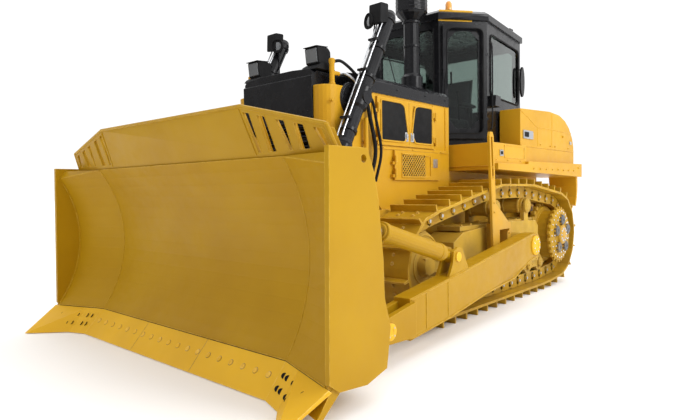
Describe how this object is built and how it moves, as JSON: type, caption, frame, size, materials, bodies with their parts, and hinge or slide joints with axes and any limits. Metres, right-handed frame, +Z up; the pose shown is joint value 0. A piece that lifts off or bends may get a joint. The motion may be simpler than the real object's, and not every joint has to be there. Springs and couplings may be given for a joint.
{
  "type": "bulldozer",
  "caption": "Large crawler dozer with a semi-U blade on outside push arms, oval tracks, a faceted cab, hinged engine doors and a rear fuel tank.",
  "frame": {"origin": "middle of the overall box, on the ground", "axes": "+X machine left, +Y rearward, +Z up"},
  "size_m": [4.34, 7.6842, 4.18],
  "materials": {
    "hull_yellow": "semi-gloss construction yellow",
    "blade_yellow": "semi-gloss yellow, slightly dulled",
    "worn_yellow": "worn yellow",
    "track_steel": "yellow paint over cast and rolled steel",
    "drive_grey": "satin dark grey",
    "gloss_black": "satin black",
    "edge_steel": "painted wear steel",
    "rod_chrome": "hard chrome",
    "cab_glass": "tinted",
    "seat_cover": "dark cloth"
  },
  "bodies": {
    "tractor": {"main_frame": "hull_yellow", "rear_plate": "hull_yellow", "radiator_guard": "hull_yellow", "front_grille": "gloss_black", "engine_frame": "hull_yellow", "engine_block": "drive_grey", "hood_top": "gloss_black", "air_stack": "gloss_black", "cab_shell": "gloss_black", "cab_roof": "gloss_black", "front_window": "cab_glass", "rear_window": "cab_glass", "seat": "seat_cover", "console": "gloss_black", "fuel_tank": "hull_yellow", "track_L": "track_steel", "track_R": "track_steel", "track_frame_L": "worn_yellow", "track_frame_R": "worn_yellow", "idler_L": "worn_yellow", "idler_R": "worn_yellow", "final_drive_L": "drive_grey", "final_drive_R": "drive_grey", "step_post_L": "hull_yellow", "step_post_R": "hull_yellow", "fender_L": "hull_yellow", "fender_R": "hull_yellow", "side_window_L": "cab_glass", "side_window_R": "cab_glass", "lift_bearing_L": "gloss_black", "lift_bearing_R": "gloss_black"},
    "push_frame": {"push_arm_L": "blade_yellow", "push_arm_R": "blade_yellow"},
    "blade": {"blade": "blade_yellow", "cutting_edge": "edge_steel", "spill_guard": "blade_yellow", "end_bit_L": "edge_steel", "end_bit_R": "edge_steel"},
    "brace_tube": {"brace_tube": "blade_yellow"},
    "brace_screw": {"brace_screw": "rod_chrome"},
    "tilt_barrel": {"tilt_barrel": "gloss_black"},
    "tilt_rod": {"tilt_rod": "rod_chrome"},
    "lift_barrel_L": {"lift_barrel_L": "gloss_black"},
    "lift_rod_L": {"lift_rod_L": "rod_chrome"},
    "cab_door_L": {"cab_door_L": "gloss_black", "cab_door_glass_L": "cab_glass"},
    "hood_door_front_L": {"hood_door_front_L": "hull_yellow"},
    "hood_door_rear_L": {"hood_door_rear_L": "hull_yellow"},
    "panel_door_L": {"panel_door_L": "hull_yellow"},
    "lift_barrel_R": {"lift_barrel_R": "gloss_black"},
    "lift_rod_R": {"lift_rod_R": "rod_chrome"},
    "cab_door_R": {"cab_door_R": "gloss_black", "cab_door_glass_R": "cab_glass"},
    "hood_door_front_R": {"hood_door_front_R": "hull_yellow"},
    "hood_door_rear_R": {"hood_door_rear_R": "hull_yellow"},
    "panel_door_R": {"panel_door_R": "hull_yellow"}
  },
  "joints": [
    {"name": "blade_lift", "type": "hinge", "parent": "tractor", "child": "push_frame", "pos_m": [0, 1.10185, 0.76], "axis": [-1, 0, 0], "range_deg": [-8, 15]},
    {"name": "blade_pitch", "type": "hinge", "parent": "push_frame", "child": "blade", "pos_m": [0, -2.32815, 0.33], "axis": [1, 0, 0], "range_deg": [-4, 4]},
    {"name": "lift_barrel_swing_L", "type": "hinge", "parent": "tractor", "child": "lift_barrel_L", "pos_m": [0.87, -1.53815, 2.49], "axis": [-1, 0, 0], "range_deg": [-8, 15]},
    {"name": "lift_rod_slide_L", "type": "slide", "parent": "lift_barrel_L", "child": "lift_rod_L", "axis": [0, -0.4773, -0.8787], "range_m": [-0.83, 0.45]},
    {"name": "lift_barrel_swing_R", "type": "hinge", "parent": "tractor", "child": "lift_barrel_R", "pos_m": [-0.87, -1.53815, 2.49], "axis": [-1, 0, 0], "range_deg": [-8, 15]},
    {"name": "lift_rod_slide_R", "type": "slide", "parent": "lift_barrel_R", "child": "lift_rod_R", "axis": [0, -0.4773, -0.8787], "range_m": [-0.83, 0.45]},
    {"name": "brace_tube_swing", "type": "hinge", "parent": "push_frame", "child": "brace_tube", "pos_m": [1.6631, -1.04815, 0.83], "axis": [1, 0, 0], "range_deg": [-2, 2]},
    {"name": "brace_screw_slide", "type": "slide", "parent": "brace_tube", "child": "brace_screw", "axis": [0, -0.9626, 0.2709], "range_m": [-0.06, 0.06]},
    {"name": "tilt_barrel_swing", "type": "hinge", "parent": "push_frame", "child": "tilt_barrel", "pos_m": [-1.6631, -1.04815, 0.83], "axis": [1, 0, 0], "range_deg": [-2, 2]},
    {"name": "tilt_rod_slide", "type": "slide", "parent": "tilt_barrel", "child": "tilt_rod", "axis": [0, -0.9626, 0.2709], "range_m": [-0.06, 0.06]},
    {"name": "cab_door_hinge_L", "type": "hinge", "parent": "tractor", "child": "cab_door_L", "pos_m": [0.99296, 1.06216, 3], "axis": [0, 0, 1], "range_deg": [0, 80]},
    {"name": "cab_door_hinge_R", "type": "hinge", "parent": "tractor", "child": "cab_door_R", "pos_m": [-0.99296, 1.06216, 3], "axis": [0, 0, -1], "range_deg": [0, 80]},
    {"name": "hood_door_front_hinge_L", "type": "hinge", "parent": "tractor", "child": "hood_door_front_L", "pos_m": [0.7933, -1.12215, 2.3], "axis": [0, 0, -1], "range_deg": [0, 95]},
    {"name": "hood_door_rear_hinge_L", "type": "hinge", "parent": "tractor", "child": "hood_door_rear_L", "pos_m": [0.7933, 0.07585, 2.3], "axis": [0, 0, 1], "range_deg": [0, 95]},
    {"name": "panel_door_hinge_L", "type": "hinge", "parent": "tractor", "child": "panel_door_L", "pos_m": [0.7933, -0.80215, 1.8], "axis": [0, 0, -1], "range_deg": [0, 90]},
    {"name": "hood_door_front_hinge_R", "type": "hinge", "parent": "tractor", "child": "hood_door_front_R", "pos_m": [-0.7933, -1.12215, 2.3], "axis": [0, 0, 1], "range_deg": [0, 95]},
    {"name": "hood_door_rear_hinge_R", "type": "hinge", "parent": "tractor", "child": "hood_door_rear_R", "pos_m": [-0.7933, 0.07585, 2.3], "axis": [0, 0, -1], "range_deg": [0, 95]},
    {"name": "panel_door_hinge_R", "type": "hinge", "parent": "tractor", "child": "panel_door_R", "pos_m": [-0.7933, -0.80215, 1.8], "axis": [0, 0, 1], "range_deg": [0, 90]}
  ],
  "couplings": [
    {"joint": "lift_barrel_swing_L", "follows": "blade_lift", "ratio": 0.95},
    {"joint": "lift_rod_slide_L", "follows": "blade_lift", "m_per_rad": -3.14},
    {"joint": "lift_barrel_swing_R", "follows": "blade_lift", "ratio": 0.95},
    {"joint": "lift_rod_slide_R", "follows": "blade_lift", "m_per_rad": -3.14},
    {"joint": "brace_tube_swing", "follows": "blade_pitch", "ratio": 0.367},
    {"joint": "tilt_barrel_swing", "follows": "blade_pitch", "ratio": 0.367},
    {"joint": "brace_screw_slide", "follows": "blade_pitch", "m_per_rad": 0.828},
    {"joint": "tilt_rod_slide", "follows": "blade_pitch", "m_per_rad": 0.828}
  ]
}
